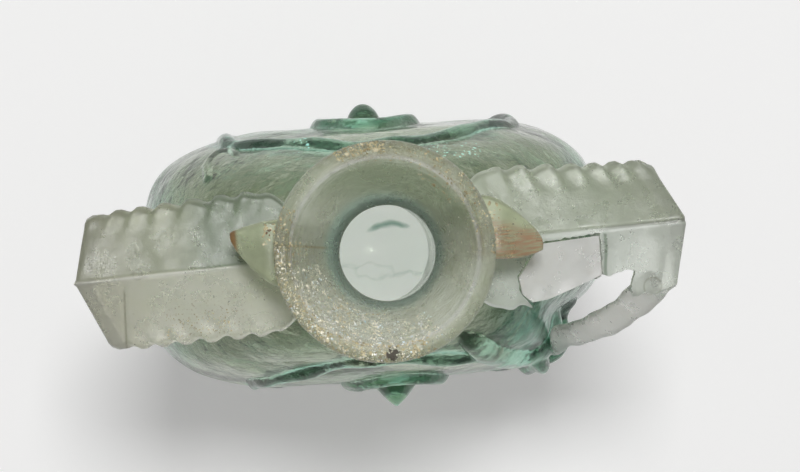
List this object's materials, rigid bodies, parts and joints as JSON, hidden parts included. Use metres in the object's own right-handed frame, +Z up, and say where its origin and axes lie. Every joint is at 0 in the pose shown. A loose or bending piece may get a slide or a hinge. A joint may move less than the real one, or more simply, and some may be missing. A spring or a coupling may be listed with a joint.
{
  "type": "two-handled glass flask",
  "caption": "Flattened blown-glass flask with a slim neck, a funnel mouth with a folded rim, angular strap handles down to its flanks, and trails and knobs on its broad faces.",
  "frame": {"origin": "middle of the whole flask's extent in plan, on the plane that its foot stands on", "axes": "+Z up along the neck to the mouth; the handles lie along X, the broken and mended one at +X; the broad faces look along -Y, with the pointed knob, and +Y, with the round knob"},
  "size_m": [0.1446, 0.084, 0.2],
  "materials": {
    "blue_green_glass": "glossy, lightly weathered, see-through",
    "pale_weathered_glass": "frosted and pitted by weathering, see-through",
    "clear_fill": "clear, slightly hazy"
  },
  "bodies": {
    "root": {"vessel": "blue_green_glass", "left_handle": "pale_weathered_glass", "right_handle": "pale_weathered_glass", "handle_fill": "clear_fill"}
  },
  "joints": []
}
